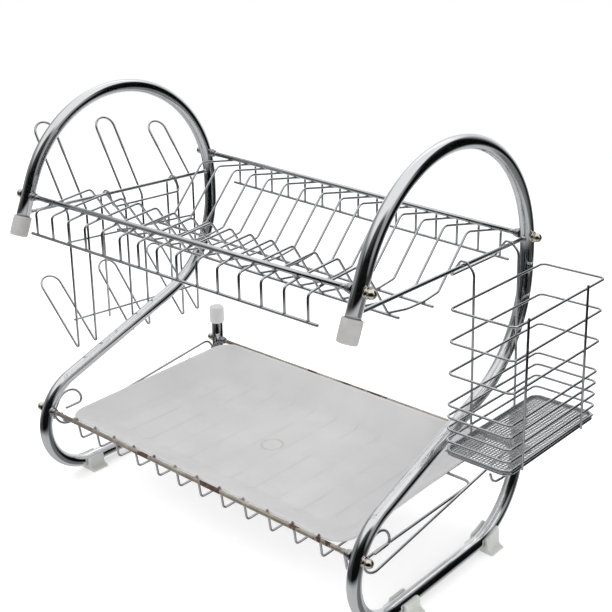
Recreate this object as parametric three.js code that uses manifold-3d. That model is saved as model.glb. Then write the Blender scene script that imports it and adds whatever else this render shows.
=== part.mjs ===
// A two-tier dish drying rack: two S-shaped tube frames carry an upper wire rack and a lower wire
// rack between them, with a drip tray, a cup holder on the left and a cutlery basket on the right.
// Millimetres, +Z up, X from left to right, Y from front to back, origin on the floor at the middle.
import * as THREE from 'three';
import { mergeVertices } from 'three/addons/utils/BufferGeometryUtils.js';
import Module from 'manifold-3d';

const wasm = await Module();
wasm.setup();

// ---------------------------------------------------------------- driving dimensions
const GAP = 0.3;                       // clearance between touching pieces
const FRAME_X = 200;                   // distance of each frame's plane from the middle
const TUBE_R = 6.35;                   // half-inch frame tube
const TUBE_BORE_R = 5.3;
const TUBE_FLOOR_Z = 9.1;              // axis of the run along the floor

const ARCH = { y: 4, z: 274, r: 118 };         // top arch of the S
const WAIST = { y: 17, z: 259, r: 105 };       // bend from the rear leg into the slope
const TOE = { y: -64, z: 61.1, r: 52 };        // lower front bend
const HEEL = { y: 52, z: 81.1, r: 72 };        // bend up into the rear upright
const SLOPE = THREE.MathUtils.degToRad(20.5);  // slope of the middle run
const LEG_LEAN = THREE.MathUtils.degToRad(22); // lean of the front leg
const LEG_END_Z = 274;
const UPRIGHT_TOP_Z = 118;

const RAIL_R = 2.6;
const RAIL_HALF = 188;
const ROD_R = 1.5;
const ROD_HALF = 174;
const WIRE_R = 1.1;

const UPPER_FRONT = { y: -110.5, z: 305.5 };
const UPPER_REAR = { y: 119.5, z: 298 };
const LOWER_FRONT = { y: -111.2, z: 83 };
const LOWER_REAR = { y: 124, z: 83 };

const UPPER_TWIST = 7;                 // rear bolt seats: this much higher on the left, lower on the right

const UPPER_WIRES = 15;
const UPPER_PITCH = 23.6;
const LOWER_WIRES = 12;
const LOWER_PITCH = 28.6;
const RAIL_OVERHANG = 16.5;            // how far the upper wires reach past their rails
const SHELF_Z = 62.5;                  // axis height of the lower wires

const CRADLE_Z = SHELF_Z - 2;          // the U-shaped wire under the lower wires
const CRADLE_LEFT_Z = 71;              // its left side slopes up to this height at the front
const CRADLE_REAR_Y = 75;

const CROSSBAR_R = 1.75;
const CROSSBAR_FRONT = { y: -98, z: 289 };
const CROSSBAR_REAR_Y = 114;
const CROSSBAR_REAR_Z = { left: 284, right: 289 };

const BOLT_R = 1.6;
const BOLT_HOLE_R = 2.0;
const BOLT_REACH = 9;                  // how far a bolt goes into its rail

const CAP_R = 8.3;
const CAP_LENGTH = 19;
const CAP_DEPTH = 14;

const FOOT = { length: 18.5, halfTop: 9.2, halfBase: 15.5, frontTop: 12.5, rearTop: 17 };
const FOOT_Y = { left: { front: -65, rear: 74 }, right: { front: -49, rear: 74 } };

const TRAY = { halfX: 179, halfY: 111, midY: 6.2, insetX: 28, insetY: 38, z: 63.9, height: 19, wall: 1.6 };
const TRAY_CORNER = 20;
const TRAY_TILT = 3;                   // the rim is this much lower in front and higher at the back

const BASKET = { x0: 211, x1: 271, y0: -12, y1: 131.5, corner: 5, rimZ: 134.6 };
const BASKET_RINGS = { wideFrom: 264, widePitch: 28.3, wideCount: 4, closePitch: 11, closeCount: 3 };
const BASKET_RISE = 3.5;               // how much the bottom rises towards the front
const BASKET_HOOKS = [{ top: 23, foot: 28 }, { top: 91, foot: 98 }];
const BASKET_POSTS = [{ top: 4, foot: 7 }, { top: 98, foot: 104 }];

const CUP_X = -208.2;
const CUP_COLUMNS = {                  // tips as [x, z], and the height of the lower bend
  front: { y: -50.8, upper: [-254.8, 357.8], lower: [-271, 191.5], rootZ: 129 },
  middle: { y: 21, upper: [-251.8, 351.6], lower: [-266.5, 191.5], rootZ: 124 },
  rear: { y: 92.8, upper: [-255, 335.7], lower: [-271, 191.5], rootZ: 120.5 },
};
const CUP_BARS_Z = [244.5, 162];       // at the front end
const CUP_BARS_FALL = 0.057;           // the holder hangs a little lower at the back
const CUP_HOOKS = [{ top: -19, foot: -19 }, { top: 69, foot: 69 }];
const CUP_FRAME_X = CUP_X - 3.2;        // plane of the bars and hooks outside the prongs
const PRONG_HALF = 11.2;
const HOOK_DROP = 12;                  // how far a hook reaches down behind its crossbar
const HOOK_LEAN = { left: 6, right: 10 };      // how far its end leans towards the middle

// ---------------------------------------------------------------- geometry helpers
const chrome = (color = 0xb9bcc0) =>
  new THREE.MeshStandardMaterial({ color, roughness: 0.12, metalness: 1 });
const plastic = (color, opacity = 1) =>
  new THREE.MeshStandardMaterial({ color, roughness: 0.45, metalness: 0, opacity, transparent: opacity < 1 });

const rack = new THREE.Group();

function addPart(name, geometry, material) {
  const mesh = new THREE.Mesh(geometry, material);
  mesh.name = name;
  rack.add(mesh);
  return mesh;
}

function positionsOnly(geometry) {
  const bare = geometry.clone();
  bare.deleteAttribute('normal');
  bare.deleteAttribute('uv');
  return mergeVertices(bare, 1e-4);
}

function signedVolume(geometry) {
  const p = geometry.attributes.position;
  const index = geometry.index.array;
  const [a, b, c] = [new THREE.Vector3(), new THREE.Vector3(), new THREE.Vector3()];
  let volume = 0;
  for (let i = 0; i < index.length; i += 3) {
    a.fromBufferAttribute(p, index[i]);
    b.fromBufferAttribute(p, index[i + 1]);
    c.fromBufferAttribute(p, index[i + 2]);
    volume += a.dot(b.cross(c)) / 6;
  }
  return volume;
}

function toSolid(geometry) {
  const merged = positionsOnly(geometry);
  if (signedVolume(merged) < 0) {
    const index = merged.index.array;
    for (let i = 0; i < index.length; i += 3) {
      [index[i], index[i + 1]] = [index[i + 1], index[i]];
    }
  }
  return new wasm.Manifold(new wasm.Mesh({
    numProp: 3,
    vertProperties: new Float32Array(merged.attributes.position.array),
    triVerts: new Uint32Array(merged.index.array),
  }));
}

function toGeometry(solid) {
  const mesh = solid.getMesh();
  const geometry = new THREE.BufferGeometry();
  geometry.setAttribute('position', new THREE.BufferAttribute(mesh.vertProperties, 3));
  geometry.setIndex(new THREE.BufferAttribute(mesh.triVerts, 1));
  geometry.computeVertexNormals();
  return geometry;
}

function joined(geometries) {
  return toGeometry(geometries.map(toSolid).reduce((all, next) => all.add(next)));
}

function cut(geometry, tools) {
  return toGeometry(tools.map(toSolid).reduce((body, tool) => body.subtract(tool), toSolid(geometry)));
}

// A path through given points, sampled exactly at those points.
class Route extends THREE.Curve {
  constructor(points) {
    super();
    this.points = points;
  }

  getUtoTmapping(u) {
    return u;
  }

  getPoint(t, target = new THREE.Vector3()) {
    const last = this.points.length - 1;
    const at = THREE.MathUtils.clamp(t, 0, 1) * last;
    const i = Math.min(Math.floor(at), last - 1);
    return target.copy(this.points[i]).lerp(this.points[i + 1], at - i);
  }

  getTangent(t, target = new THREE.Vector3()) {
    const last = this.points.length - 1;
    const i = Math.round(t * last);
    const here = this.points[i];
    const before = this.points[Math.max(i - 1, 0)];
    const after = this.points[Math.min(i + 1, last)];
    const inward = here.clone().sub(before).normalize();
    const outward = after.clone().sub(here).normalize();
    return target.copy(inward.add(outward)).normalize();
  }
}

function polygon(sides, radius, turn = 0) {
  return Array.from({ length: sides }, (_, i) => {
    const angle = turn + (i / sides) * 2 * Math.PI;
    return new THREE.Vector2(radius * Math.cos(angle), radius * Math.sin(angle));
  });
}

function sweep(points, radius, sides = 6, bore = null) {
  const section = new THREE.Shape(polygon(sides, radius));
  if (bore) section.holes.push(new THREE.Path(polygon(bore.sides, bore.radius)));
  const route = new Route(points);
  return new THREE.ExtrudeGeometry(section, { steps: points.length - 1, extrudePath: route });
}

// Replaces each inner corner of a line of points by a bend of the given radius.
function rounded(points, radius, steps = 2) {
  const path = [points[0]];
  for (let i = 1; i < points.length - 1; i += 1) {
    const back = points[i - 1].clone().sub(points[i]);
    const on = points[i + 1].clone().sub(points[i]);
    const turn = Math.PI - back.angleTo(on);
    const reach = Math.min(radius * Math.tan(turn / 2), back.length() * 0.45, on.length() * 0.45);
    const start = points[i].clone().addScaledVector(back.normalize(), reach);
    const end = points[i].clone().addScaledVector(on.normalize(), reach);
    path.push(...new THREE.QuadraticBezierCurve3(start, points[i], end).getPoints(steps));
  }
  path.push(points[points.length - 1]);
  return path;
}

const inPlane = (x, profile) => profile.map(([y, z]) => new THREE.Vector3(x, y, z));

function arcPoints({ y, z, r }, from, to, steps) {
  return Array.from({ length: steps + 1 }, (_, i) => {
    const angle = from + ((to - from) * i) / steps;
    return [y + r * Math.cos(angle), z + r * Math.sin(angle)];
  });
}

function rod(x0, x1, y, z, radius, sides = 6) {
  return sweep([new THREE.Vector3(x0, y, z), new THREE.Vector3(x1, y, z)], radius, sides);
}

// A turned piece whose axis runs along +X from the origin; profile points are [radius, x].
function turned(profile, segments = 10) {
  const outline = profile.map(([r, x]) => new THREE.Vector2(r, x));
  return new THREE.LatheGeometry(outline, segments).rotateZ(-Math.PI / 2);
}

// ---------------------------------------------------------------- frames
// The S seen from the side: front leg, arch, waist bend, slope, toe, floor run, heel, upright.
function frameProfile() {
  const legTop = Math.PI - LEG_LEAN;
  const top = [ARCH.y + ARCH.r * Math.cos(legTop), ARCH.z + ARCH.r * Math.sin(legTop)];
  const fall = top[1] - LEG_END_Z;
  const legEnd = [top[0] - fall * Math.tan(LEG_LEAN), LEG_END_Z];
  return [
    legEnd,
    ...arcPoints(ARCH, legTop, 0, 16),
    ...arcPoints(WAIST, 0, -Math.PI / 2 + SLOPE, 7),
    ...arcPoints(TOE, Math.PI / 2 + SLOPE, (Math.PI * 3) / 2, 14),
    ...arcPoints(HEEL, -Math.PI / 2, 0, 7),
    [HEEL.y + HEEL.r, UPRIGHT_TOP_Z],
  ];
}

const PROFILE = frameProfile();
const BOLT_SEATS = { UPPER_FRONT, UPPER_REAR, LOWER_FRONT, LOWER_REAR };

// The upper rack is bolted on with a slight twist: level in front, tilted along its rear edge.
function twisted(geometry) {
  const p = geometry.attributes.position;
  for (let i = 0; i < p.count; i += 1) {
    const back = Math.max(0, (p.getY(i) - UPPER_FRONT.y) / (UPPER_REAR.y - UPPER_FRONT.y));
    p.setZ(i, p.getZ(i) - (UPPER_TWIST * back * p.getX(i)) / FRAME_X);
  }
  return geometry;
}

// Only what is bolted to the upper rack follows the twist.
const seated = (geometry, seat) => (seat.z > WAIST.z ? twisted(geometry) : geometry);

function frameTube(side) {
  const x = side * FRAME_X;
  const bore = { sides: 6, radius: TUBE_BORE_R };
  const tube = sweep(inPlane(x, PROFILE), TUBE_R, 12, bore);
  const holes = Object.values(BOLT_SEATS).map((seat) =>
    seated(rod(x - TUBE_R * 1.5, x + TUBE_R * 1.5, seat.y, seat.z, BOLT_HOLE_R, 6), seat));
  return cut(tube, holes);
}

function crossbarHeight(label, y) {
  const along = (y - CROSSBAR_FRONT.y) / (CROSSBAR_REAR_Y - CROSSBAR_FRONT.y);
  return THREE.MathUtils.lerp(CROSSBAR_FRONT.z, CROSSBAR_REAR_Z[label], along);
}

// The thin bar across the arch that the side holders hang on.
function crossbar(label, side) {
  const rearZ = CROSSBAR_REAR_Z[label];
  const legY = ARCH.y + ARCH.r * Math.cos(Math.PI - LEG_LEAN);
  const legZ = ARCH.z + ARCH.r * Math.sin(Math.PI - LEG_LEAN);
  const frontY = legY - (legZ - CROSSBAR_FRONT.z) * Math.tan(LEG_LEAN);
  const rearY = ARCH.y + Math.sqrt(ARCH.r ** 2 - (rearZ - ARCH.z) ** 2);
  const clear = TUBE_R / Math.cos(LEG_LEAN) + GAP + 0.6;
  const ends = [frontY + clear, rearY - clear].map((y) => [y, crossbarHeight(label, y)]);
  return sweep(inPlane(side * FRAME_X, ends), CROSSBAR_R);
}

// The brace inside each frame's foot: a rising wire with a scroll at either end.
const SCROLL = { y: -87, z: 77.3, r: 17.8 };
const CURL = { y: -86, z: 79.5, r: 15 };

function scrollBrace(side) {
  const profile = [
    [79, 73],
    [82, 66],
    [89.5, 61.5],
    [103, 60.4],
    [112, 67.5],
    [114.6, 76.5],
    [107, 85],
    [99, 85.2],
    ...arcPoints(SCROLL, -Math.PI / 2, -Math.PI, 4),
    ...arcPoints(CURL, Math.PI * 0.88, 0.05, 6),
    [-72.6, 76.8],
    [-90, 76.6],
  ];
  return sweep(inPlane(side * FRAME_X, profile), WIRE_R, 6);
}

function endCap() {
  return turned([
    [0, 0],
    [CAP_R - 1.2, 0],
    [CAP_R, 1.2],
    [CAP_R, CAP_LENGTH],
    [TUBE_R + GAP, CAP_LENGTH],
    [TUBE_R + GAP, CAP_LENGTH - CAP_DEPTH],
    [0, CAP_LENGTH - CAP_DEPTH],
  ], 14);
}

function placeCap(name, x, y, z, lean) {
  const mesh = addPart(name, endCap(), plastic(0xd9dad6));
  // the turned piece's axis points from the closed end towards the tube
  const axis = new THREE.Vector3(0, Math.sin(lean), Math.cos(lean));
  const start = new THREE.Vector3(x, y, z).addScaledVector(axis, -(CAP_LENGTH - CAP_DEPTH) - GAP);
  mesh.position.copy(start);
  mesh.quaternion.setFromUnitVectors(new THREE.Vector3(1, 0, 0), axis);
}

// A saddle under the floor run, flared towards the floor.
function foot(side, y, top) {
  const { halfTop, halfBase, length } = FOOT;
  const outline = new THREE.Shape([
    new THREE.Vector2(-halfBase, 0),
    new THREE.Vector2(halfBase, 0),
    new THREE.Vector2(halfBase, 1.8),
    new THREE.Vector2(halfTop + 1.5, 5),
    new THREE.Vector2(halfTop, 7),
    new THREE.Vector2(halfTop, top),
    new THREE.Vector2(-halfTop, top),
    new THREE.Vector2(-halfTop, 7),
    new THREE.Vector2(-halfTop - 1.5, 5),
    new THREE.Vector2(-halfBase, 1.8),
  ]);
  const block = new THREE.ExtrudeGeometry(outline, { depth: length, bevelEnabled: false });
  block.rotateX(Math.PI / 2).translate(side * FRAME_X, y + length / 2, 0);
  const seat = sweep(inPlane(side * FRAME_X, PROFILE), TUBE_R + GAP, 12);
  const lifted = PROFILE.map(([py, pz]) => [py, pz + TUBE_R]);
  const above = sweep(inPlane(side * FRAME_X, lifted), TUBE_R, 12);
  return cut(block, [seat, above]);
}

// ---------------------------------------------------------------- rails, bolts and spacers
function rail({ y, z }) {
  const bar = rod(-RAIL_HALF, RAIL_HALF, y, z, RAIL_R, 10);
  const tapped = [-1, 1].map((side) =>
    rod(side * (RAIL_HALF - BOLT_REACH - 1), side * (RAIL_HALF + 1), y, z, BOLT_HOLE_R, 8));
  return cut(bar, tapped);
}

function bolt() {
  const under = FRAME_X + TUBE_R + GAP;
  return turned([
    [0, RAIL_HALF - BOLT_REACH],
    [BOLT_R, RAIL_HALF - BOLT_REACH],
    [BOLT_R, under],
    [4.6, under],
    [4.6, under + 1.4],
    [3.2, under + 1.8],
    [4.3, under + 2.9],
    [4.3, under + 5.5],
    [2.6, under + 7.6],
    [0, under + 8.1],
  ], 8);
}

function spacer() {
  const near = RAIL_HALF + GAP;
  const far = FRAME_X - TUBE_R - GAP;
  return turned([
    [BOLT_HOLE_R, near],
    [3.4, near],
    [4.3, near + 1.2],
    [4.3, far],
    [BOLT_HOLE_R, far],
    [BOLT_HOLE_R, near],
  ], 8);
}

function placeAlongX(name, geometry, side, seat, material) {
  if (side < 0) geometry.rotateZ(Math.PI);
  addPart(name, seated(geometry.translate(0, seat.y, seat.z), seat), material);
}

// ---------------------------------------------------------------- wire racks
// One upper wire from the lower front rod, over the hump, through the trough, to the lower rear rod.
const UPPER_PROFILE = [
  [UPPER_FRONT.y - RAIL_OVERHANG, 277.5],
  [UPPER_FRONT.y - RAIL_OVERHANG, UPPER_FRONT.z - 6.2],
  [UPPER_FRONT.y, UPPER_FRONT.z - RAIL_R - WIRE_R - GAP],
  [-65, 306.5],
  [-31.5, 257.5],
  [-6, 253.8],
  [18, 254],
  [38.5, 257],
  [79.5, 301.5],
  [UPPER_REAR.y, UPPER_REAR.z - RAIL_R - WIRE_R - GAP],
  [UPPER_REAR.y + 15, UPPER_REAR.z - 6.5],
  [UPPER_REAR.y + 15, 265.5],
];

const spread = (count, pitch) =>
  Array.from({ length: count }, (_, i) => (i - (count - 1) / 2) * pitch);

function upperPanel() {
  const wires = spread(UPPER_WIRES, UPPER_PITCH).map((x) =>
    sweep(rounded(inPlane(x, UPPER_PROFILE), 7, 1), WIRE_R, 4));
  const [frontY, frontZ] = UPPER_PROFILE[0];
  const [rearY, rearZ] = UPPER_PROFILE.at(-1);
  const rods = [
    [frontY, frontZ],
    [-30.5, 256],
    [16.5, 252.2],
    [rearY, rearZ],
  ].map(([y, z]) => rod(-ROD_HALF, ROD_HALF, y, z, ROD_R));
  return twisted(joined([...rods, ...wires]));
}

// One lower wire: it stands up just inside the front rail and just inside the rear rail.
const LOWER_PROFILE = [
  [LOWER_FRONT.y + RAIL_R + WIRE_R + GAP, LOWER_FRONT.z + 1.5],
  [LOWER_FRONT.y + RAIL_R + WIRE_R + 3.4, SHELF_Z],
  [LOWER_REAR.y - RAIL_R - WIRE_R - 3.4, SHELF_Z],
  [LOWER_REAR.y - RAIL_R - WIRE_R - GAP, LOWER_REAR.z + 1.5],
];

// A closed rounded rectangle of wire at one height, its seam in the middle of the side at y0.
function wireRing({ x0, x1, y0, y1, corner }, z, radius, sides = 6, cornerSteps = 2) {
  const corners = [[x1, y0, -90], [x1, y1, 0], [x0, y1, 90], [x0, y0, 180]];
  const midX = (x0 + x1) / 2;
  const points = [[midX, y0]];
  for (const [cx, cy, start] of corners) {
    const ox = cx === x1 ? cx - corner : cx + corner;
    const oy = cy === y1 ? cy - corner : cy + corner;
    for (let i = 0; i <= cornerSteps; i += 1) {
      const angle = THREE.MathUtils.degToRad(start + (90 * i) / cornerSteps);
      points.push([ox + corner * Math.cos(angle), oy + corner * Math.sin(angle)]);
    }
  }
  points.push([midX, y0]);
  const path = points.map(([x, y]) => new THREE.Vector3(x, y, z));
  const seam = rod(midX - 1, midX + 1, y0, z, radius * 1.1, sides);
  return joined([sweep(path.slice(0, -1).concat(path.at(-1).clone().setX(midX - 0.5)), radius, sides), seam]);
}

function lowerPanel() {
  const wires = spread(LOWER_WIRES, LOWER_PITCH).map((x) =>
    sweep(rounded(inPlane(x, LOWER_PROFILE), 5, 1), WIRE_R, 4));
  const [frontY, frontZ] = [LOWER_FRONT.y + RAIL_R + WIRE_R + GAP, LOWER_FRONT.z - 1];
  const cradle = [
    [-183, frontY, frontZ],
    [-184, frontY + 4, CRADLE_LEFT_Z],
    [-184, CRADLE_REAR_Y, CRADLE_Z],
    [184, CRADLE_REAR_Y, CRADLE_Z],
    [184, frontY + 4, CRADLE_Z],
    [183, frontY, frontZ],
  ].map((at) => new THREE.Vector3(...at));
  return joined([sweep(rounded(cradle, 8, 2), 1.4, 6), ...wires]);
}

// ---------------------------------------------------------------- drip tray
function roundedRectangle(halfX, halfY, corner, segments) {
  const outline = new THREE.Shape();
  const centres = [[1, -1, -90], [1, 1, 0], [-1, 1, 90], [-1, -1, 180]];
  const points = centres.flatMap(([sx, sy, start]) =>
    Array.from({ length: segments + 1 }, (_, i) => {
      const angle = THREE.MathUtils.degToRad(start + (90 * i) / segments);
      return new THREE.Vector2(
        sx * (halfX - corner) + corner * Math.cos(angle),
        sy * (halfY - corner) + corner * Math.sin(angle),
      );
    }));
  outline.setFromPoints(points);
  return outline;
}

// A slab that is smaller at the bottom than at the top, with a top that tilts towards the front.
function basin(shrink, corner, floorZ, lift) {
  const { halfX, halfY, insetX, insetY, z, height, midY } = TRAY;
  const [x, y] = [halfX - shrink, halfY - shrink];
  const slab = new THREE.ExtrudeGeometry(roundedRectangle(x, y, corner, 5), { depth: 1, bevelEnabled: false });
  const p = slab.attributes.position;
  for (let i = 0; i < p.count; i += 1) {
    if (p.getZ(i) > 0.5) {
      p.setZ(i, z + height + lift + (TRAY_TILT * p.getY(i)) / halfY);
    } else {
      p.setXYZ(i, (p.getX(i) * (x - insetX)) / x, (p.getY(i) * (y - insetY)) / y, floorZ);
    }
  }
  return slab.translate(0, midY, 0);
}

function dripTray() {
  const { wall, z } = TRAY;
  const outer = basin(0, TRAY_CORNER, z, 0);
  const inner = basin(1.6 * wall, TRAY_CORNER - wall, z + wall, 1);
  return cut(outer, [inner]);
}

// ---------------------------------------------------------------- side holders
// A hanger: up from a foot point at wireX, over the crossbar, and down behind it, at both hooks.
function hanger(label, wireX, hooks, footZ) {
  const side = label === 'left' ? -1 : 1;
  const bar = side * FRAME_X;
  const over = CROSSBAR_R + WIRE_R + GAP;
  const hook = (at) => {
    const barZ = crossbarHeight(label, at.top);
    return [
      new THREE.Vector3(wireX, at.foot, footZ),
      new THREE.Vector3(wireX, at.top, barZ + over - Math.abs(wireX - bar)),
      new THREE.Vector3(bar + side * over * 0.8, at.top, barZ + over),
      new THREE.Vector3(bar - side * over, at.top, barZ + over),
      new THREE.Vector3(bar - side * (over + HOOK_LEAN[label]), at.top, barZ - HOOK_DROP),
    ];
  };
  const [first, second] = hooks;
  return rounded([...hook(first), ...hook(second).reverse()], 3, 1);
}

// The basket's wires rise towards the front, most at the bottom and not at all at the top ring.
function raisedFront(geometry) {
  const { rimZ, y0, y1 } = BASKET;
  const p = geometry.attributes.position;
  for (let i = 0; i < p.count; i += 1) {
    const below = Math.max(0, (BASKET_RINGS.wideFrom - p.getZ(i)) / (BASKET_RINGS.wideFrom - rimZ));
    const forward = (y1 - p.getY(i)) / (y1 - y0);
    p.setZ(i, p.getZ(i) + BASKET_RISE * below * forward);
  }
  return geometry;
}

function basketWalls() {
  const { wideFrom, widePitch, wideCount, closePitch, closeCount } = BASKET_RINGS;
  const wide = Array.from({ length: wideCount }, (_, i) => wideFrom - i * widePitch);
  const close = Array.from({ length: closeCount }, (_, i) => wide.at(-1) - (i + 1) * closePitch);
  const rings = [...wide, ...close, BASKET.rimZ + 3.4, BASKET.rimZ - 1].map((z) =>
    wireRing(BASKET, z, WIRE_R, 4, 1));
  const postX = BASKET.x1 + WIRE_R;
  const posts = BASKET_POSTS.map(({ top, foot: low }) => sweep([
    new THREE.Vector3(postX, low, BASKET.rimZ - 1),
    new THREE.Vector3(postX, top, wideFrom + 4),
  ], WIRE_R, 4));
  const hooks = sweep(hanger('right', BASKET.x0 - WIRE_R * 0.6, BASKET_HOOKS, BASKET.rimZ - 1), WIRE_R, 4);
  return raisedFront(joined([...rings, ...posts, hooks]));
}

function basketFloor() {
  const inset = WIRE_R + GAP + 0.4;
  const [columns, rows, strip, thick] = [3, 8, 5, 1];
  const width = BASKET.x1 - BASKET.x0 - 2 * inset;
  const length = BASKET.y1 - BASKET.y0 - 2 * inset;
  const middle = [(BASKET.x0 + BASKET.x1) / 2, (BASKET.y0 + BASKET.y1) / 2, BASKET.rimZ + 1.2];
  const along = Array.from({ length: columns + 1 }, (_, i) =>
    new THREE.BoxGeometry(strip, length, thick)
      .translate((i / columns - 0.5) * (width - strip), 0, 0));
  const across = Array.from({ length: rows + 1 }, (_, i) =>
    new THREE.BoxGeometry(width, strip, thick)
      .translate(0, (i / rows - 0.5) * (length - strip), 0));
  return raisedFront(joined([...along, ...across]).translate(...middle));
}

// A prong: out from the holder's plane along a slope, round a half circle, and back.
function prong(centreY, root, tip) {
  const along = tip.clone().sub(root).normalize();
  const turnCentre = tip.clone().addScaledVector(along, -PRONG_HALF);
  const turn = Array.from({ length: 7 }, (_, i) => {
    const angle = (Math.PI * i) / 6;
    return turnCentre.clone()
      .addScaledVector(along, PRONG_HALF * Math.sin(angle))
      .setY(centreY - PRONG_HALF * Math.cos(angle));
  });
  return [root.clone().setY(centreY - PRONG_HALF), ...turn, root.clone().setY(centreY + PRONG_HALF)];
}

// One closed loop of wire: an upper prong, two uprights side by side, and a lower prong.
function cupProngs({ y, upper, lower, rootZ }) {
  const tip = ([x, z]) => new THREE.Vector3(x, y, z);
  const upperLoop = prong(y, new THREE.Vector3(CUP_X, y, 274), tip(upper));
  const lowerLoop = prong(y, new THREE.Vector3(CUP_X - 1, y, rootZ), tip(lower));
  const [near, far] = [y - PRONG_HALF, y + PRONG_HALF];
  const meet = (end, z) => new THREE.Vector3(CUP_X, end, z);
  return joined([
    sweep([meet(near, 199), ...upperLoop, meet(far, 199)], WIRE_R, 4),
    sweep(rounded([meet(near, 200), ...lowerLoop, meet(far, 200)], 1.5, 1), WIRE_R * 0.99, 4),
  ]);
}

// The two bars that hold the prongs side by side, and the wire that hooks over the crossbar.
function cupFrame() {
  const first = CUP_COLUMNS.front.y - PRONG_HALF - 1;
  const last = CUP_COLUMNS.rear.y + PRONG_HALF + 1;
  const bars = CUP_BARS_Z.map((z) => sweep([
    new THREE.Vector3(CUP_FRAME_X, first, z),
    new THREE.Vector3(CUP_FRAME_X, last, z - CUP_BARS_FALL * (last - first)),
  ], WIRE_R, 4));
  return joined([...bars, sweep(hanger('left', CUP_FRAME_X, CUP_HOOKS, 153), WIRE_R, 4)]);
}

// ---------------------------------------------------------------- assembly
const LEG_END = PROFILE[0];
const UPRIGHT_END = PROFILE.at(-1);

for (const [label, side] of [['left', -1], ['right', 1]]) {
  addPart(`frame_tube_${label}`, frameTube(side), chrome());
  addPart(`crossbar_${label}`, crossbar(label, side), chrome());
  addPart(`scroll_brace_${label}`, scrollBrace(side), chrome());
  placeCap(`leg_cap_${label}`, side * FRAME_X, LEG_END[0], LEG_END[1], LEG_LEAN);
  placeCap(`upright_cap_${label}`, side * FRAME_X, UPRIGHT_END[0], UPRIGHT_END[1], Math.PI);
  addPart(`foot_front_${label}`, foot(side, FOOT_Y[label].front, FOOT.frontTop), plastic(0xb9bab4));
  addPart(`foot_rear_${label}`, foot(side, FOOT_Y[label].rear, FOOT.rearTop), plastic(0xb9bab4));
  for (const [seat, at] of Object.entries(BOLT_SEATS)) {
    const place = seat.toLowerCase();
    placeAlongX(`bolt_${place}_${label}`, bolt(), side, at, chrome(0xc9b99c));
    placeAlongX(`spacer_${place}_${label}`, spacer(), side, at, chrome(0x55565a));
  }
}

addPart('upper_front_rail', rail(UPPER_FRONT), chrome());
addPart('upper_rear_rail', twisted(rail(UPPER_REAR)), chrome());
addPart('upper_wire_panel', upperPanel(), chrome());
addPart('lower_front_rail', rail(LOWER_FRONT), chrome(0xb5aca2));
addPart('lower_rear_rail', rail(LOWER_REAR), chrome(0xb5aca2));
addPart('lower_wire_panel', lowerPanel(), chrome());
addPart('drip_tray', dripTray(), plastic(0xd4d5d6, 0.85));
addPart('cup_holder_frame', cupFrame(), chrome());
for (const [place, column] of Object.entries(CUP_COLUMNS)) {
  addPart(`cup_prongs_${place}`, cupProngs(column), chrome());
}
addPart('cutlery_basket', basketWalls(), chrome());
addPart('cutlery_basket_floor', basketFloor(), chrome());

// Centre the finished rack on the origin, standing on the floor.
const bounds = new THREE.Box3().setFromObject(rack, true);
const middle = bounds.getCenter(new THREE.Vector3()).setZ(bounds.min.z);
for (const part of rack.children) {
  part.position.sub(middle);
}

export default rack;
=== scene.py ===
"""Dish drying rack: the visible model, built around the fixed CAD frame. Metres, +Z up."""
import math

import bmesh
import bpy
from mathutils import Matrix, Vector


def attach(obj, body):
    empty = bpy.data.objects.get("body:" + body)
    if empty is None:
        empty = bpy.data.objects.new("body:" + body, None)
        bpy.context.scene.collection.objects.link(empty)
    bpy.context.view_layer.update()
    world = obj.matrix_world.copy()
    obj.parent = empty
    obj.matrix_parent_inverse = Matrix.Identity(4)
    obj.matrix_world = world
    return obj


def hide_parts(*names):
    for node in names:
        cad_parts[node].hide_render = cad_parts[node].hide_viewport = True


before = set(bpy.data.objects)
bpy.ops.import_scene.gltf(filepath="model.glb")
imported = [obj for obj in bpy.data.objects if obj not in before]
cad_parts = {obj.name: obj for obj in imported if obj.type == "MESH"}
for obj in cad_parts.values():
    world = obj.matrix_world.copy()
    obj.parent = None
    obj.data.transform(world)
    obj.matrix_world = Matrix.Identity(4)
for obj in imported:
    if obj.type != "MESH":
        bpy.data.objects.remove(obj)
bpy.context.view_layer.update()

# ---------------------------------------------------------------- dimensions, in millimetres
OFFSET = (0.745, 1.699)                # the design's middle to the row frame's origin
FRAME_X = 200.0
TUBE_R = 6.35
ARCH = (4.0, 274.0, 118.0)             # centre y, centre z, radius
WAIST = (17.0, 259.0, 105.0)
TOE = (-64.0, 61.1, 52.0)
HEEL = (52.0, 81.1, 72.0)
SLOPE = math.radians(20.5)
LEG_LEAN = math.radians(22.0)
LEG_END_Z = 274.0
UPRIGHT_TOP_Z = 118.0

RAIL_R = 2.4
LOWER_RAIL_R = 2.1
RAIL_HALF = 188.0
COLLAR_INSET = 2.5                     # from a rail's end to the middle of the collar on it
ROD_R = 1.4
ROD_HALF = 174.0
WIRE_R = 1.12
SCROLL_R = 1.25
RUST_PATCHES = ((-54.0, 8.0), (33.0, 11.0), (131.0, 2.5), (163.0, 3.0))     # x and half length

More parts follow.
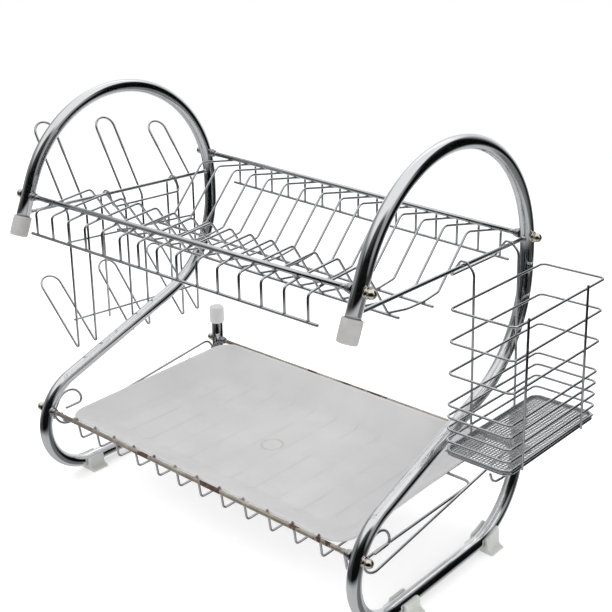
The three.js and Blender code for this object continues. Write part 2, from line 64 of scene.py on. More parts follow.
SEATS = {                              # y and z of the bolts' axes
    "upper_front": (-110.5, 305.5),
    "upper_rear": (119.5, 298.0),
    "lower_front": (-111.2, 83.0),
    "lower_rear": (124.0, 83.0),
}
UPPER_TWIST = 7.0                      # rear bolt seats: this much higher on the left, lower on the right
UPPER_WIRES, UPPER_PITCH = 15, 23.6
UPPER_OVERHANG = (16.5, 15.0)          # how far the plate wires reach past the front and rear rails
LOWER_WIRES, LOWER_PITCH = 12, 28.6
SHELF_Z = 62.5
CROSSBAR_R = 1.75
CROSSBAR_FRONT = (-98.0, 289.0)        # y, z
CROSSBAR_REAR_Y = 114.0
CROSSBAR_REAR_Z = {"left": 284.0, "right": 289.0}
HOOK_DROP = 12.0                       # how far a hook reaches down behind its crossbar
HOOK_LEAN = {"left": 6.0, "right": 10.0}           # how far its end leans towards the middle
CAP_LENGTH = 19.0
CAP_DEPTH = 14.0
CAP_PROFILE = [                        # radius and height
    (0, 0), (5.8, 0), (7.3, 0.25), (8.0, 0.9), (8.2, 2.0), (8.3, 6.0), (8.35, 17.6), (8.2, 18.6),
    (7.6, 19.0), (6.9, 18.8), (6.62, 18.0), (6.6, 5.6), (6.0, 5.05), (0, 5.0),
]
BALL_AT, BALL_R = 210.7, 4.25          # distance from the rack's middle, and radius
BALL_NECK_R = 3.3

BASKET_X = (211.0, 271.0)
BASKET_Y = (-12.0, 131.5)
BASKET_RING_Z = (264.0, 235.7, 207.4, 179.1, 168.1, 157.1, 146.1)
BASKET_RIM_Z = 134.6
BASKET_RIM_GAP = 2.6                   # between the two wires that clamp the woven floor
BASKET_TOP_R = 1.15
BASKET_RIM_R = 1.2
BASKET_RISE = 3.5                      # how much the bottom rises towards the front
BASKET_HOOKS_Y = ((23.0, 28.0), (91.0, 98.0))      # at the top and at the bottom
BASKET_POSTS_Y = ((4.0, 7.0), (98.0, 104.0))
BASKET_POST_X = 272.8
BASKET_HOOK_X = 210.0
MESH_PITCH, MESH_R, MESH_WAVE = 3.0, 0.46, 0.38

CUP_X = -208.2
CUP_BAR_X = -210.35
CUP_COLUMNS = {                        # y, upper tip x and z, lower tip x and z, height of the lower bend
    "front": (-50.8, -254.8, 357.8, -271.0, 191.5, 129.0),
    "middle": (21.0, -251.8, 351.6, -266.5, 191.5, 124.0),
    "rear": (92.8, -255.0, 335.7, -271.0, 191.5, 120.5),
}
CUP_BARS_Z = (244.5, 162.0)            # at the front end
CUP_BARS_FALL = 0.057                  # the holder hangs a little lower at the back
CUP_HOOKS_Y = ((-19.0, -19.0), (69.0, 69.0))
PRONG_HALF = 11.2

TRAY_HALF = (179.0, 111.0)
TRAY_MID_Y = 6.2
TRAY_CORNER = 20.0
TRAY_UNDERSIDE_Z = 63.9
TRAY_HEIGHT = 20.6
TRAY_WALL_RUN = (29.0, 39.0)           # from the rim in to the floor's edge, in x and in y
TRAY_TILT = 3.0                        # the rim is this much lower in front and higher at the back
TRAY_GATE = (0.0, 3.0, 66.0)

FOOT_Y = {"left": (-65.0, 74.0), "right": (-49.0, 74.0)}
FOOT_HALF = 9.25
FOOT_WALL = 3.6                        # how far the saddle's walls rise above the tube's middle


def point(x, y, z):
    """A place in the design's millimetres, as a vector in the row frame's metres."""
    return Vector((x - OFFSET[0], y - OFFSET[1], z)) / 1000.0


def twisted(x, y, z):
    """A place on the upper rack, which is level in front and tilted along its rear edge."""
    front_y, rear_y = SEATS["upper_front"][0], SEATS["upper_rear"][0]
    back = max(0.0, (y - front_y) / (rear_y - front_y))
    return point(x, y, z - UPPER_TWIST * back * x / FRAME_X)


def in_frame(side, places):
    """Places given as (y, z) in the plane of the left or right frame."""
    return [point(side * FRAME_X, y, z) for y, z in places]


def spread_out(count, pitch):
    return [(i - (count - 1) / 2) * pitch for i in range(count)]


# ---------------------------------------------------------------- mesh helpers
def arc(centre, start, end, steps):
    cy, cz, r = centre
    angles = [start + (end - start) * i / steps for i in range(steps + 1)]
    return [(cy + r * math.cos(a), cz + r * math.sin(a)) for a in angles]


def fillet(points, radii, steps=8, closed=False):
    """Rounds the corners of a line of points; radii is one number or one each, in millimetres."""
    count = len(points)
    if not hasattr(radii, "__len__"):
        radii = [radii] * count
    path = []
    for i, corner in enumerate(points):
        if not closed and i in (0, count - 1):
            path.append(corner.copy())
            continue
        back = points[i - 1] - corner
        on = points[(i + 1) % count] - corner
        theta = back.angle(on)
        if math.pi - theta < 0.02:
            path.append(corner.copy())
            continue
        reach = min(radii[i] / 1000.0 / math.tan(theta / 2), back.length * 0.48, on.length * 0.48)
        back.normalize()
        on.normalize()
        start, end = corner + back * reach, corner + on * reach
        centre = corner + (back + on).normalized() * (reach / math.cos(theta / 2))
        v0, v1 = start - centre, end - centre
        phi = v0.angle(v1)
        for k in range(steps + 1):
            t = k / steps
            turned = v0 * math.sin((1 - t) * phi) + v1 * math.sin(t * phi)
            path.append(centre + turned / math.sin(phi))
    return path


def rings_between(bm, first, second):
    count = len(first)
    for i in range(count):
        j = (i + 1) % count
        bm.faces.new((first[i], first[j], second[j], second[i]))


def without_repeats(points, closed):
    path = [points[0]]
    for p in points[1:]:
        if (p - path[-1]).length > 1e-6:
            path.append(p)
    if closed and (path[0] - path[-1]).length < 1e-6:
        path.pop()
    return path


def frames_along(path, closed):
    """The direction of travel at each point, and one square to it that doesn't spin on the way."""
    count = len(path)
    tangents = []
    for i, p in enumerate(path):
        before = path[i - 1] if (i or closed) else p
        after = path[(i + 1) % count] if (i < count - 1 or closed) else p
        tangents.append(((p - before).normalized() + (after - p).normalized()).normalized())
    side = tangents[0].orthogonal().normalized()
    across = []
    for t in tangents:
        side = (side - t * side.dot(t)).normalized()
        across.append(side)
    if closed:
        home = (side - tangents[0] * side.dot(tangents[0])).normalized()
        twist = home.angle(across[0])
        if home.cross(across[0]).dot(tangents[0]) < 0:
            twist = -twist
        across = [Matrix.Rotation(twist * i / count, 3, tangents[i]) @ u for i, u in enumerate(across)]
    return tangents, across


def dome_over(bm, ring, centre, outward, height, at_start):
    """Closes one end of a tube with a low dome."""
    last = ring
    for step in (1, 2):
        a = step * math.pi / 6
        lift = outward * (height * math.sin(a))
        new = [bm.verts.new(centre + lift + (v.co - centre) * math.cos(a)) for v in ring]
        if at_start:
            rings_between(bm, new, last)
        else:
            rings_between(bm, last, new)
        last = new
    tip = bm.verts.new(centre + outward * height)
    for i in range(len(ring)):
        j = (i + 1) % len(ring)
        bm.faces.new((last[j], last[i], tip) if at_start else (last[i], last[j], tip))


def tube(bm, points, radius, sides=12, closed=False, radii=None, dome=0.7):
    """Sweeps a circle of the given radius in millimetres along points, with softly domed ends."""
    path = without_repeats(points, closed)
    tangents, across = frames_along(path, closed)
    sizes = [r / 1000.0 for r in (radii or [radius] * len(path))]
    angles = [2 * math.pi * k / sides for k in range(sides)]
    rings = []
    for p, tangent, u, r in zip(path, tangents, across, sizes):
        v = tangent.cross(u)
        rings.append([bm.verts.new(p + (u * math.cos(a) + v * math.sin(a)) * r) for a in angles])
    for first, second in zip(rings, rings[1:]):
        rings_between(bm, first, second)
    if closed:
        rings_between(bm, rings[-1], rings[0])
        return
    dome_over(bm, rings[0], path[0], -tangents[0], sizes[0] * dome, True)
    dome_over(bm, rings[-1], path[-1], tangents[-1], sizes[-1] * dome, False)


def weld(bm, at, direction, radius=1.3, length=3.4):
    """A small spindle of weld metal where two wires cross."""
    shape = (0.45, 0.82, 1.0, 0.82, 0.45)
    steps = [(i / (len(shape) - 1) - 0.5) * length / 1000.0 for i in range(len(shape))]
    tube(bm, [at + direction.normalized() * s for s in steps], radius, 8,
         radii=[radius * s for s in shape], dome=0.5)


def lathe(bm, profile, origin, axis, segments=32):
    """Turns (radius, height) pairs in millimetres round an axis; a closed profile makes a ring."""
    axis = axis.normalized()
    u = axis.orthogonal().normalized()
    v = axis.cross(u)
    rings = []
    for r, h in profile:
        base = origin + axis * (h / 1000.0)
        if r < 1e-6:
            rings.append([bm.verts.new(base)])
            continue
        angles = [2 * math.pi * k / segments for k in range(segments)]
        rings.append([bm.verts.new(base + (u * math.cos(a) + v * math.sin(a)) * r / 1000.0)
                      for a in angles])
    pairs = list(zip(rings, rings[1:]))
    if profile[0] == profile[-1]:
        for vertex in rings[-1]:
            bm.verts.remove(vertex)
        pairs[-1] = (rings[-2], rings[0])
    for low, high in pairs:
        if len(low) == 1 and len(high) == 1:
            continue
        for i in range(segments):
            j = (i + 1) % segments
            if len(low) == 1:
                bm.faces.new((low[0], high[j], high[i]))
            elif len(high) == 1:
                bm.faces.new((low[i], low[j], high[0]))
            else:
                bm.faces.new((low[i], low[j], high[j], high[i]))


def piece(name, bm, material, body, nodes=(), sharp=None):
    """Turns a bmesh into a finished piece that rides on a body and stands for CAD nodes."""
    bmesh.ops.recalc_face_normals(bm, faces=bm.faces)
    mesh = bpy.data.meshes.new(name)
    bm.to_mesh(mesh)
    bm.free()
    for polygon in mesh.polygons:
        polygon.use_smooth = True
    if sharp is not None:
        mesh.set_sharp_from_angle(angle=math.radians(sharp))
    mesh.materials.append(material)
    obj = bpy.data.objects.new(name, mesh)
    bpy.context.scene.collection.objects.link(obj)
    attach(obj, body)
    if nodes:
        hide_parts(*nodes)
    return obj


# ---------------------------------------------------------------- materials
def feed(tree, socket, value):
    """Links another node's output to a socket, or sets the socket to a plain value."""
    if isinstance(value, bpy.types.NodeSocket):
        tree.links.new(value, socket)
    else:
        socket.default_value = value


def add_node(tree, kind, inputs=(), **settings):
    node = tree.nodes.new(kind)
    for key, value in settings.items():
        setattr(node, key, value)
    for key, value in dict(inputs).items():
        feed(tree, node.inputs[key], value)
    return node


def rgba(value):
    return value if isinstance(value, bpy.types.NodeSocket) else (*value, 1)


class Shader:
    """A Principled material and short calls that add the nodes feeding it."""

    def __init__(self, name):
        self.material = bpy.data.materials.new(name)
        self.material.use_nodes = True
        self.tree = self.material.node_tree
        self.bsdf = self.tree.nodes["Principled BSDF"]
        self.place = self.tree.nodes.new("ShaderNodeTexCoord").outputs["Object"]

    def add(self, kind, inputs=(), **settings):
        return add_node(self.tree, kind, inputs, **settings)

    def set(self, **values):
        for key, value in values.items():
            feed(self.tree, self.bsdf.inputs[key.replace("_", " ")], value)

    def stretched(self, scale):
        return self.add("ShaderNodeMapping", {"Vector": self.place, "Scale": scale}).outputs[0]

    def noise(self, scale, detail=3.0, rough=0.55, vector=None):
        inputs = {"Vector": vector or self.place, "Scale": scale, "Detail": detail, "Roughness": rough}
        return self.add("ShaderNodeTexNoise", inputs).outputs["Fac"]

    def spread(self, value, low, high, start=0.35, end=0.65):
        inputs = {"Value": value, "From Min": start, "From Max": end, "To Min": low, "To Max": high}
        return self.add("ShaderNodeMapRange", inputs).outputs["Result"]

    def ramp(self, value, stops):
        node = self.add("ShaderNodeValToRGB", {"Fac": value})
        elements = node.color_ramp.elements
        elements[0].position, elements[0].color = stops[0][0], (*stops[0][1], 1)
        elements[1].position, elements[1].color = stops[-1][0], (*stops[-1][1], 1)
        for position, color in stops[1:-1]:
            elements.new(position).color = (*color, 1)
        return node.outputs["Color"]

    def mix(self, factor, a, b, blend="MIX"):
        inputs = {0: factor, 6: rgba(a), 7: rgba(b)}
        return self.add("ShaderNodeMix", inputs, data_type="RGBA", blend_type=blend).outputs[2]

    def math(self, operation, a, b=0.0):
        return self.add("ShaderNodeMath", {0: a, 1: b}, operation=operation).outputs[0]

    def blend(self, a, share_a, b, share_b):
        return self.math("ADD", self.math("MULTIPLY", a, share_a), self.math("MULTIPLY", b, share_b))

    def bump(self, height, strength, distance):
        inputs = {"Height": height, "Strength": strength, "Distance": distance}
        self.set(Normal=self.add("ShaderNodeBump", inputs).outputs["Normal"])


def chrome(name, dark, light, smooth, worn, bump=0.03):
    """Polished plating between two tones and two roughnesses, with a little grime."""
    s = Shader(name)
    cloud = s.noise(16.0, 3.0)
    fine = s.noise(420.0, 4.0)
    tone = s.ramp(cloud, [(0.3, dark), (0.7, light)])
    grime = s.ramp(s.noise(95.0, 6.0, 0.7), [(0.66, (1, 1, 1)), (0.82, (0.80, 0.76, 0.70))])
    s.set(Base_Color=s.mix(0.6, tone, grime, "MULTIPLY"), Metallic=1.0)
    s.set(Roughness=s.spread(s.blend(cloud, 0.5, fine, 0.5), smooth, worn))
    s.bump(s.noise(1600.0, 2.0), bump, 0.0001)
    return s.material


def rusty_rail(name):
    """Plating gone tan and dull, with brown patches where it has broken."""
    s = Shader(name)
    cloud = s.noise(19.0, 4.0, 0.6)
    fine = s.noise(240.0, 5.0, 0.7)
    plate = s.ramp(s.noise(70.0, 5.0, 0.65), [
        (0.28, (0.27, 0.225, 0.185)), (0.5, (0.43, 0.385, 0.335)), (0.72, (0.60, 0.56, 0.50))])
    rust = s.ramp(fine, [
        (0.3, (0.035, 0.018, 0.015)), (0.55, (0.085, 0.042, 0.035)), (0.8, (0.20, 0.12, 0.08))])
    pits = s.spread(fine, 0.5, 1.0, 0.3, 0.5)
    broken = s.math("MULTIPLY", s.spread(cloud, 0.0, 1.0, 0.60, 0.66), pits)
    x = s.add("ShaderNodeSeparateXYZ", {"Vector": s.place}).outputs[0]
    ragged = s.math("ADD", x, s.spread(s.noise(160.0, 4.0, 0.7), -0.008, 0.008, 0.3, 0.7))
    for middle, half in RUST_PATCHES:
        away = s.math("ABSOLUTE", s.math("SUBTRACT", ragged, (middle - OFFSET[0]) / 1000))
        reach = half / 1000
        broken = s.math("MAXIMUM", broken, s.spread(away, 1.0, 0.0, reach, reach + 0.002))
    s.set(Base_Color=s.mix(broken, plate, rust))
    s.set(Metallic=s.math("SUBTRACT", 0.75, s.math("MULTIPLY", broken, 0.7)))
    s.set(Roughness=s.spread(s.math("ADD", broken, s.math("MULTIPLY", fine, 0.4)), 0.3, 0.75, 0.0, 1.0))
    s.bump(fine, 0.3, 0.0003)
    return s.material


def milky_plastic(name, low, high, roughness, subsurface):
    """Translucent moulded plastic between two tones, with faint flow marks."""
    s = Shader(name)
    cloud = s.noise(48.0, 4.0, 0.6)
    s.set(Base_Color=s.ramp(cloud, [(0.32, low), (0.68, high)]))
    s.set(Roughness=s.spread(s.noise(300.0, 3.0), roughness - 0.06, roughness + 0.08))
    s.set(Subsurface_Weight=subsurface, Subsurface_Radius=(1.0, 1.0, 1.0), Subsurface_Scale=0.004)
    s.set(IOR=1.46)
    flow = s.noise(36.0, 3.0, vector=s.stretched((1.0, 1.0, 0.35)))
    s.bump(s.blend(flow, 0.6, s.noise(900.0, 2.0), 0.4), 0.16, 0.0006)
    return s.material


def tray_plastic(name):
    """Greyish white, slightly translucent plastic, with the shadows of the wires under its floor painted
    on as darker bands.
    """
    s = Shader(name)
    x, _, z = s.add("ShaderNodeSeparateXYZ", {"Vector": s.place}).outputs
    cloud = s.noise(11.0, 5.0, 0.6)
    base = s.ramp(cloud, [(0.3, (0.540, 0.534, 0.538)), (0.7, (0.625, 0.619, 0.622))])
    # painted shadow: the wires that carry the tray are painted onto its floor as soft darker bands,
    # standing in for their shadows seen through the plastic
    pitch = LOWER_PITCH / 1000
    from_wire = s.math("ADD", x, OFFSET[0] / 1000 + 20 * pitch)
    turn = s.math("FRACT", s.math("DIVIDE", from_wire, pitch))
    away = s.math("ABSOLUTE", s.math("SUBTRACT", turn, 0.5))
    wire_shadow_band = s.spread(away, 1.0, 0.0, 0.02, 0.085)
    low_down = s.spread(z, 1.0, 0.0, 0.066, 0.071)
    faded = s.spread(s.noise(16.0, 3.0), 0.1, 1.0, 0.42, 0.62)
    painted_wire_shadow = s.math("MULTIPLY", s.math("MULTIPLY", wire_shadow_band, low_down), faded)
    # painted shade: darkens the tray's colour towards this grey along the painted wire shadows
    base = s.mix(s.math("MULTIPLY", painted_wire_shadow, 0.4), base, (0.44, 0.442, 0.448))
    # a faint, broken warm ring round the moulding gate
    gate = s.add("ShaderNodeVectorMath", {0: s.place, 1: point(*TRAY_GATE)}, operation="DISTANCE")
    away = gate.outputs["Value"]
    ring = s.math("MULTIPLY", s.spread(away, 0.0, 1.0, 0.0085, 0.0098),
                  s.spread(away, 1.0, 0.0, 0.0112, 0.0125))
    stain = s.math("MULTIPLY", ring, s.spread(s.noise(120.0, 4.0, 0.7), 0.15, 0.8))
    base = s.mix(stain, base, (0.45, 0.40, 0.34))
    s.set(Base_Color=base)
    s.set(Roughness=s.spread(s.noise(190.0, 4.0), 0.38, 0.52))
    s.set(Subsurface_Weight=0.25, Subsurface_Radius=(1.0, 1.0, 1.0), Subsurface_Scale=0.006)
    s.bump(s.blend(s.noise(24.0, 2.0), 0.8, s.noise(1300.0, 2.0), 0.06), 0.12, 0.002)
    return s.material


CHROME_TUBE = chrome("chrome_tube", (0.74, 0.75, 0.77), (0.84, 0.85, 0.87), 0.03, 0.09)
CHROME_WIRE = chrome("chrome_wire", (0.56, 0.57, 0.59), (0.68, 0.69, 0.71), 0.08, 0.2, 0.06)
MESH_WIRE = chrome("mesh_wire", (0.45, 0.46, 0.48), (0.58, 0.59, 0.61), 0.2, 0.34, 0.06)
RAIL_METAL = rusty_rail("rail_metal")
BOLT_METAL = chrome("bolt_metal", (0.74, 0.68, 0.60), (0.88, 0.82, 0.74), 0.05, 0.12)
SPACER_METAL = chrome("spacer_metal", (0.40, 0.40, 0.41), (0.58, 0.58, 0.60), 0.1, 0.3, 0.08)
LEG_CAP_PLASTIC = milky_plastic(
    "leg_cap_plastic", (0.36, 0.35, 0.345), (0.47, 0.46, 0.455), 0.42, 0.45)
UPRIGHT_CAP_PLASTIC = milky_plastic(
    "upright_cap_plastic", (0.60, 0.59, 0.59), (0.70, 0.69, 0.69), 0.42, 0.55)
FOOT_PLASTIC = milky_plastic("foot_plastic", (0.54, 0.55, 0.525), (0.62, 0.63, 0.605), 0.4, 0.5)
TRAY_PLASTIC = tray_plastic("tray_plastic")

ALONG_X = Vector((1, 0, 0))
ALONG_Y = Vector((0, 1, 0))
ALONG_Z = Vector((0, 0, 1))


# ---------------------------------------------------------------- frames
def frame_profile():
    """The frame tube's centre line as (y, z), from the end of the front leg to the rear upright's top."""
    leg_top = math.pi - LEG_LEAN
    top_y = ARCH[0] + ARCH[2] * math.cos(leg_top)
    top_z = ARCH[1] + ARCH[2] * math.sin(leg_top)
    end_y = top_y - (top_z - LEG_END_Z) * math.tan(LEG_LEAN)
    profile = [(end_y, LEG_END_Z)]
    profile += arc(ARCH, leg_top, 0.0, 60)
    profile += arc(WAIST, 0.0, -math.pi / 2 + SLOPE, 28)
    profile += arc(TOE, math.pi / 2 + SLOPE, math.pi * 1.5, 52)
    profile += arc(HEEL, -math.pi / 2, 0.0, 30)
    profile.append((HEEL[0] + HEEL[2], UPRIGHT_TOP_Z))
    return profile


PROFILE = frame_profile()


def frame_tube(label, side):
    bm = bmesh.new()
    tube(bm, in_frame(side, PROFILE), TUBE_R, 48, dome=0.05)
    piece(f"s_tube_{label}", bm, CHROME_TUBE, "rack", [f"frame_tube_{label}"])


def crossbar_height(label, y):
    rear = CROSSBAR_REAR_Z[label]
    along = (y - CROSSBAR_FRONT[0]) / (CROSSBAR_REAR_Y - CROSSBAR_FRONT[0])
    return CROSSBAR_FRONT[1] + (rear - CROSSBAR_FRONT[1]) * along


def crossbar(label, side):
    rear_z = CROSSBAR_REAR_Z[label]
    leg_y, leg_z = PROFILE[1]
    front = leg_y - (leg_z - CROSSBAR_FRONT[1]) * math.tan(LEG_LEAN) + TUBE_R
    rear = ARCH[0] + math.sqrt(ARCH[2] ** 2 - (rear_z - ARCH[1]) ** 2) - TUBE_R
    ends = in_frame(side, [(y, crossbar_height(label, y)) for y in (front, rear)])
    bm = bmesh.new()
    tube(bm, ends, CROSSBAR_R, 16)
    for end, inward in zip(ends, (1, -1)):
        bead = [(0, -1.6), (2.6, -1.4), (3.0, -0.4), (2.4, 0.9), (1.8, 2.4), (0, 2.6)]
        lathe(bm, bead, end, ALONG_Y * inward, 16)
    piece(f"hanging_bar_{label}", bm, CHROME_WIRE, "rack", [f"crossbar_{label}"])


def scroll_brace(label, side):
    front_scroll = arc((-87.0, 77.3, 17.8), -math.pi / 2, -math.pi, 10)
    front_curl = arc((-86.0, 79.5, 15.0), math.pi * 0.88, 0.05, 18)
    rear = [(78.9, 73.5), (82.5, 65.5), (89.5, 61.3), (102.9, 60.0), (112.6, 66.5), (115.0, 77.0),
            (108.0, 85.4), (99.0, 85.2), (94.0, 84.4)]
    front_tail = [(-71.0, 80.0), (-72.6, 76.8), (-90.0, 76.4)]
    path = fillet(in_frame(side, rear), 9.0, 6)
    path += in_frame(side, front_scroll + front_curl)
    path += fillet(in_frame(side, front_tail), 3, 5)
    bm = bmesh.new()
    tube(bm, path, SCROLL_R, 12)
    weld(bm, point(side * FRAME_X, -105.6, 73.0), ALONG_Z, 1.9, 6.0)
    weld(bm, point(side * FRAME_X, 115.8, 75.5), ALONG_Z, 1.9, 5.0)
    piece(f"scroll_{label}", bm, CHROME_WIRE, "rack", [f"scroll_brace_{label}"])


def end_cap(name, node, at, axis, material):
    bm = bmesh.new()
    start = at - axis * ((CAP_LENGTH - CAP_DEPTH + 0.3) / 1000.0)
    lathe(bm, CAP_PROFILE, start, axis, 40)
    piece(name, bm, material, "rack", [node])


def tube_height(y):
    """Height of the floor run's axis above the floor at y, also a little way up either bend."""
    bend = TOE if y < TOE[0] else HEEL
    past = min(0.0, y - TOE[0]) + max(0.0, y - HEEL[0])
    return bend[1] - math.sqrt(bend[2] ** 2 - past ** 2)


def foot(label, where, side, middle):
    seat = TUBE_R + 0.12
    opening = math.asin(FOOT_WALL / seat)
    groove = [opening - (math.pi + 2 * opening) * i / 18 for i in range(19)]
    bm = bmesh.new()
    slices = []
    for step in range(9):
        y = middle + (step / 4 - 1) * FOOT_HALF
        centre = tube_height(y)
        right = [(15.5, 0), (15.7, 0.8), (15.5, 1.8), (13.4, 2.5), (11.6, 3.7), (10.5, 5.4),
                 (10.0, centre - 1.5), (9.6, centre + 1.8), (9.2, centre + FOOT_WALL),
                 (7.2, centre + FOOT_WALL + 0.8)]
        left = [(-x, z) for x, z in reversed(right)]
        saddle = [(seat * math.cos(a), centre + seat * math.sin(a)) for a in groove]
        slices.append([bm.verts.new(point(side * FRAME_X + x, y, z)) for x, z in right + saddle + left])
    for first, second in zip(slices, slices[1:]):
        rings_between(bm, first, second)
    bm.faces.new(list(reversed(slices[0])))
    bm.faces.new(slices[-1])
    obj = piece(f"foot_pad_{where}_{label}", bm, FOOT_PLASTIC, "rack",
                [f"foot_{where}_{label}"], sharp=40)
    bevel = obj.modifiers.new("edges", "BEVEL")
    bevel.width = 0.0005
    bevel.segments = 2
    bevel.limit_method = "ANGLE"
    bevel.angle_limit = math.radians(50)


# ---------------------------------------------------------------- rails, bolts and spacers
def rail(seat):
    y, z = SEATS[seat]
    lower = seat.startswith("lower")
    r = LOWER_RAIL_R if lower else RAIL_R
    at = point if lower else twisted
    collar = [(r - 0.1, -2.2), (r + 0.22, -1.9), (r + 0.26, 1.9), (r - 0.1, 2.2)]
    bm = bmesh.new()
    tube(bm, [at(x, y, z) for x in (-RAIL_HALF, -60, 60, RAIL_HALF)], r, 24, dome=0.15)
    along = at(1, y, z) - at(0, y, z)
    for x in (COLLAR_INSET - RAIL_HALF, RAIL_HALF - COLLAR_INSET):
        lathe(bm, collar, at(x, y, z), along, 24)
    if lower:
        inward = 1 if seat == "lower_front" else -1
        for x in spread_out(LOWER_WIRES, LOWER_PITCH):
            place = point(x, y + inward * (r + 0.3), z + 0.8)
            weld(bm, place, Vector((0, inward * 0.25, 1)), 1.55, 4.6)
    material, slot = (RAIL_METAL, "rail_metal") if lower else (CHROME_WIRE, "chrome_wire")
    piece(f"rail_{seat}", bm, material, "rack", [f"{seat}_rail"])


def seat_axis(side, seat):
    """Where the seat's axis crosses the middle of the rack, and its direction outwards."""
    y, z = SEATS[seat]
    at = twisted if seat.startswith("upper") else point
    return at(0, y, z), (at(side, y, z) - at(0, y, z)).normalized()


def ball_nut(label, side, seat):
    """A bolt from inside the rail out to its ball; heights run outwards from the rack's middle."""
    neck = math.asin(BALL_NECK_R / BALL_R)
    ball = []
    for i in range(15):
        a = math.pi - neck + (neck - math.pi) * i / 14
        ball.append((max(0.0, BALL_R * math.sin(a)), BALL_AT + BALL_R * math.cos(a)))
    ball[-1] = (0, BALL_AT + BALL_R)
    profile = [(0, 179), (1.55, 179), (1.6, 206.5), (4.3, 206.55), (4.62, 206.8), (4.66, 207.5),
               (4.4, 207.85), (BALL_NECK_R, 207.95)] + ball
    bm = bmesh.new()
    lathe(bm, profile, *seat_axis(side, seat), 28)
    piece(f"ball_nut_{seat}_{label}", bm, BOLT_METAL, "rack", [f"bolt_{seat}_{label}"])


def saddle_washer(label, side, seat):
    profile = [(1.9, 188.1), (3.2, 188.1), (3.5, 188.4), (3.6, 189.0), (3.6, 190.6), (4.1, 190.8),
               (4.3, 191.2), (4.3, 193.4), (4.1, 193.8), (1.9, 193.8), (1.9, 188.1)]
    bm = bmesh.new()
    lathe(bm, profile, *seat_axis(side, seat), 28)
    piece(f"washer_{seat}_{label}", bm, SPACER_METAL, "rack",
          [f"spacer_{seat}_{label}"], sharp=35)


# ---------------------------------------------------------------- wire racks
def upper_panel():
    front_y, front_z = SEATS["upper_front"]
    rear_y, rear_z = SEATS["upper_rear"]
    under = RAIL_R + WIRE_R - 0.15
    first_y, last_y = front_y - UPPER_OVERHANG[0], rear_y + UPPER_OVERHANG[1]
    profile = [                            # y, z and bend radius
        (first_y, 277.5, 0), (first_y, front_z - 6.0, 4), (front_y, front_z - under, 40),
        (-65.0, 306.5, 6), (-31.5, 257.5, 4), (-6.0, 253.8, 60), (18.0, 254.0, 60), (38.5, 257.0, 5),
        (79.5, 301.5, 8), (rear_y, rear_z - under, 40), (last_y, rear_z - 6.3, 4), (last_y, 265.5, 0),
    ]
    rods = [(first_y, 277.3), (-29.0, 255.0), (18.0, 251.7), (last_y, 265.6)]
    bm = bmesh.new()
    radii = [r for _, _, r in profile]
    for x in spread_out(UPPER_WIRES, UPPER_PITCH):
        tube(bm, fillet([twisted(x, y, z) for y, z, _ in profile], radii, 6), WIRE_R, 10)
        for y, z in ((front_y, front_z), (rear_y, rear_z)):
            weld(bm, twisted(x, y, z - RAIL_R - 0.2), ALONG_Y, 1.25, 4.0)
        for y, z in rods[1:3]:
            weld(bm, twisted(x, y, z + 1.2), ALONG_X, 1.15, 3.2)
        for y, z in (rods[0], rods[3]):
            weld(bm, twisted(x, y, z + 1.0), ALONG_Z, 1.4, 3.0)
    for y, z in rods:
        tube(bm, [twisted(x, y, z) for x in (-ROD_HALF, 0, ROD_HALF)], ROD_R, 14)
    piece("plate_rack", bm, CHROME_WIRE, "rack", ["upper_wire_panel"])


def lower_panel():
    front_y, front_z = SEATS["lower_front"]
    rear_y, rear_z = SEATS["lower_rear"]
    reach = LOWER_RAIL_R + WIRE_R + 0.1
    profile = [(front_y + reach, front_z + 1.5), (front_y + reach + 3.4, SHELF_Z),
               (rear_y - reach - 3.4, SHELF_Z), (rear_y - reach, rear_z + 1.5)]
    bm = bmesh.new()
    for x in spread_out(LOWER_WIRES, LOWER_PITCH):
        tube(bm, fillet([point(x, y, z) for y, z in profile], 4.0, 6), WIRE_R, 10)
        weld(bm, point(x, 75.0, SHELF_Z - 1.1), ALONG_X, 1.1, 3.2)
    loop_z = SHELF_Z - 2.3
    loop = [point(-183, front_y + 3.4, front_z - 0.5), point(-184, front_y + 7, 71.0),
            point(-184, 75, loop_z), point(184, 75, loop_z), point(184, front_y + 7, loop_z),
            point(183, front_y + 3.4, front_z - 0.5)]
    tube(bm, fillet(loop, [0, 6, 9, 9, 6, 0], 8), ROD_R, 14)
    piece("lower_rack", bm, CHROME_WIRE, "rack", ["lower_wire_panel"])


# ---------------------------------------------------------------- drip tray
def tray_outline(inset_x, inset_y, corner):
    """A rounded rectangle round the tray's middle, with points along its sides as well."""
    per_corner, per_side = 10, 6
    half_x, half_y = TRAY_HALF[0] - inset_x, TRAY_HALF[1] - inset_y
    corners = ((1, -1, -90), (1, 1, 0), (-1, 1, 90), (-1, -1, 180))
    outline = []
    for sx, sy, start in corners:
        for k in range(per_corner + 1):
            a = math.radians(start + 90 * k / per_corner)
            outline.append((sx * (half_x - corner) + corner * math.cos(a),
                            sy * (half_y - corner) + corner * math.sin(a)))
    filled = []
    for i, here in enumerate(outline):
        nxt = outline[(i + 1) % len(outline)]
        filled.append(here)
        if (i + 1) % (per_corner + 1) == 0:
            for k in range(1, per_side):
                t = k / per_side
                filled.append((here[0] + (nxt[0] - here[0]) * t, here[1] + (nxt[1] - here[1]) * t))
    return filled


